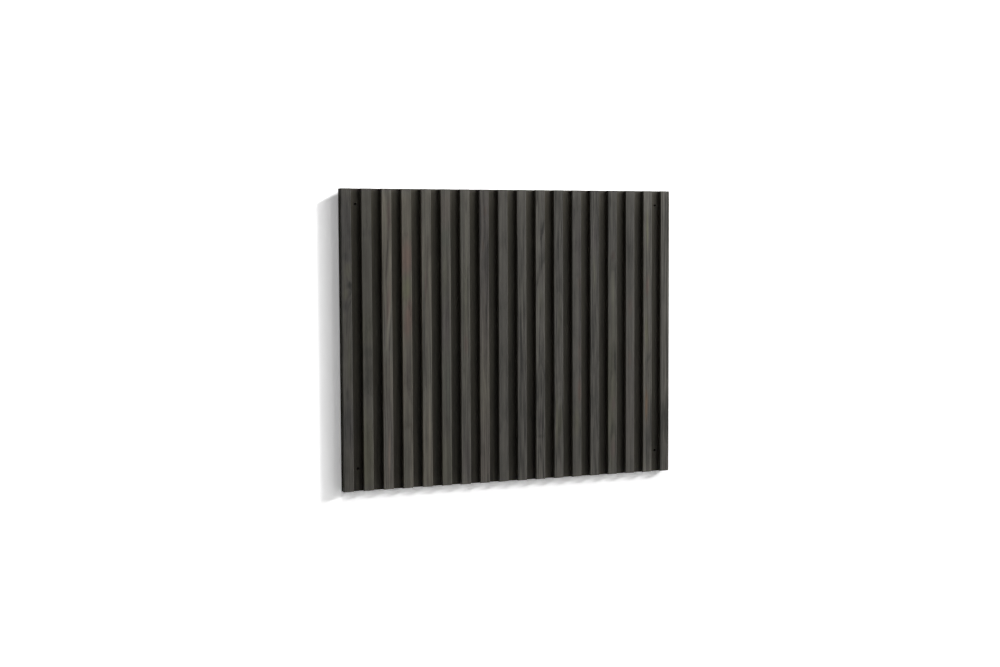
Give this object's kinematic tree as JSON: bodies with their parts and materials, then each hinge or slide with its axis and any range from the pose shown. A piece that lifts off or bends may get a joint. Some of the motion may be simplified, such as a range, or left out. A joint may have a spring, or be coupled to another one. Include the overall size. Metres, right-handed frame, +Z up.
{
  "type": "wall panel",
  "caption": "Flat dark-stained wood wall panel: upright slats glued side by side to a backing board, with small screw holes near its corners.",
  "frame": {"origin": "centre of the panel's back face, on the wall it is fixed to", "axes": "+X to the right as seen from the front, +Y into the wall (the slats face -Y), +Z up along the slats"},
  "size_m": [0.6, 0.016, 0.5],
  "materials": {
    "stained_slat": "dark grey-brown stain over open grain, matt",
    "stained_board": "darker brown stain, smooth, matt"
  },
  "bodies": {
    "root": {"backing_board": "stained_board", "slat_01": "stained_slat", "slat_02": "stained_slat", "slat_03": "stained_slat", "slat_04": "stained_slat", "slat_05": "stained_slat", "slat_06": "stained_slat", "slat_07": "stained_slat", "slat_08": "stained_slat", "slat_09": "stained_slat", "slat_10": "stained_slat", "slat_11": "stained_slat", "slat_12": "stained_slat", "slat_13": "stained_slat", "slat_14": "stained_slat", "slat_15": "stained_slat", "slat_16": "stained_slat", "slat_17": "stained_slat", "slat_18": "stained_slat"}
  },
  "joints": []
}
